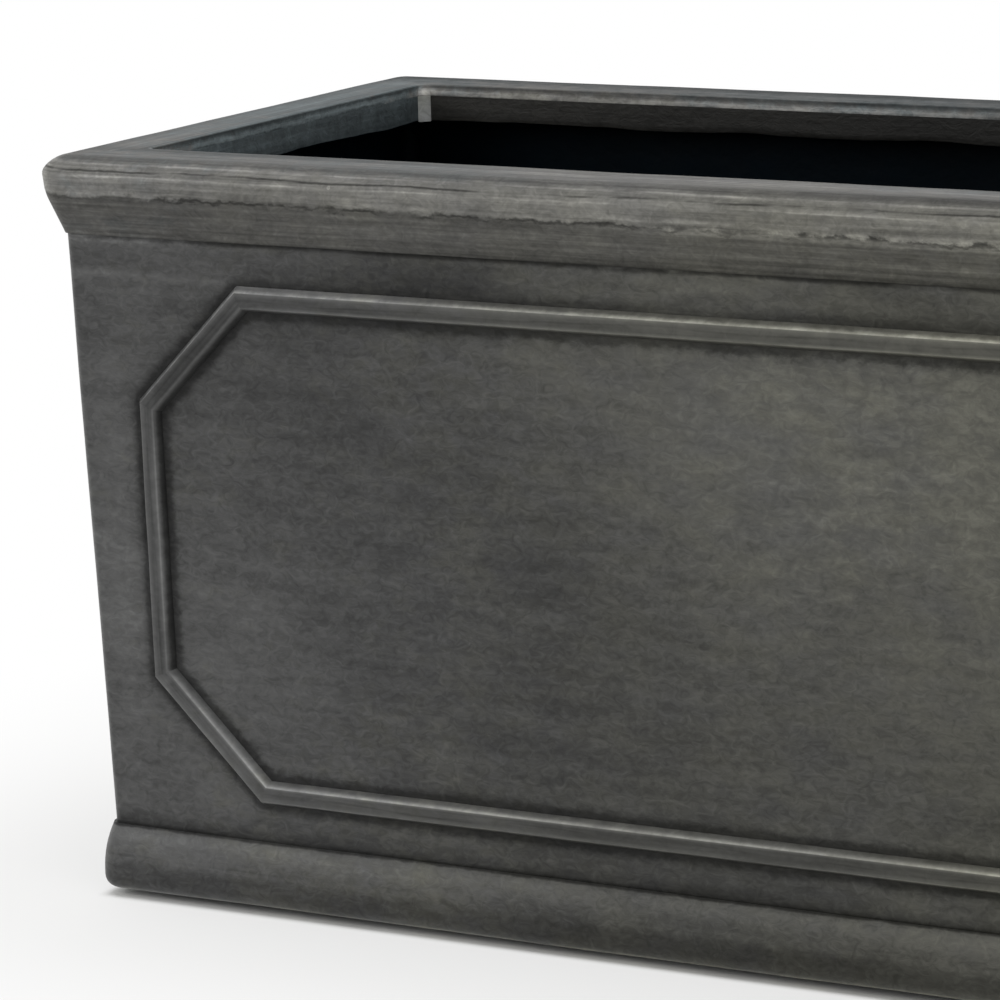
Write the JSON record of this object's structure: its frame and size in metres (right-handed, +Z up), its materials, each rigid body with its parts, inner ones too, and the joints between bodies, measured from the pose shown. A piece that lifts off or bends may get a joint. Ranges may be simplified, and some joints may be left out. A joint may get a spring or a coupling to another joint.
{
  "type": "trough planter",
  "caption": "Rectangular lead-effect trough planter with a cornice rim, raised octagonal strap panels, a swelling plinth and pull-out drain bungs.",
  "frame": {"origin": "on the ground under the middle of the trough", "axes": "+X along the trough, +Y from the pictured front to the back, +Z up"},
  "size_m": [0.8, 0.28, 0.3],
  "materials": {
    "aged_lead": "dark lead-grey gel coat, brushed along the trough and rubbed back by hand",
    "rubbed_lead": "the same gel coat, rubbed lighter on its raised edges",
    "dark_lead": "darker gel coat inside the opening, with long brush marks",
    "raw_laminate": "black inner face of the laminate, left as laid",
    "black_rubber": "matt black rubber"
  },
  "bodies": {
    "trough": {"wall_shell": "aged_lead", "rim_moulding": "rubbed_lead", "plinth_moulding": "aged_lead", "front_panel_moulding": "rubbed_lead", "back_panel_moulding": "rubbed_lead", "left_panel_moulding": "rubbed_lead", "right_panel_moulding": "rubbed_lead", "front_return_strip": "dark_lead", "back_return_strip": "dark_lead", "left_return_strip": "dark_lead", "right_return_strip": "dark_lead", "corner_fillet_front_left": "rubbed_lead", "corner_fillet_front_right": "rubbed_lead", "corner_fillet_back_left": "rubbed_lead", "corner_fillet_back_right": "rubbed_lead", "base_panel": "raw_laminate", "foot_pad_front_left": "black_rubber", "foot_pad_front_right": "black_rubber", "foot_pad_back_left": "black_rubber", "foot_pad_back_right": "black_rubber"},
    "left_bung": {"drain_bung_left": "black_rubber"},
    "middle_bung": {"drain_bung_middle": "black_rubber"},
    "right_bung": {"drain_bung_right": "black_rubber"}
  },
  "joints": [
    {"name": "left_bung_pull", "type": "slide", "parent": "trough", "child": "left_bung", "axis": [0, 0, 1], "range_m": [0, 0.015]},
    {"name": "middle_bung_pull", "type": "slide", "parent": "trough", "child": "middle_bung", "axis": [0, 0, 1], "range_m": [0, 0.015]},
    {"name": "right_bung_pull", "type": "slide", "parent": "trough", "child": "right_bung", "axis": [0, 0, 1], "range_m": [0, 0.015]}
  ]
}
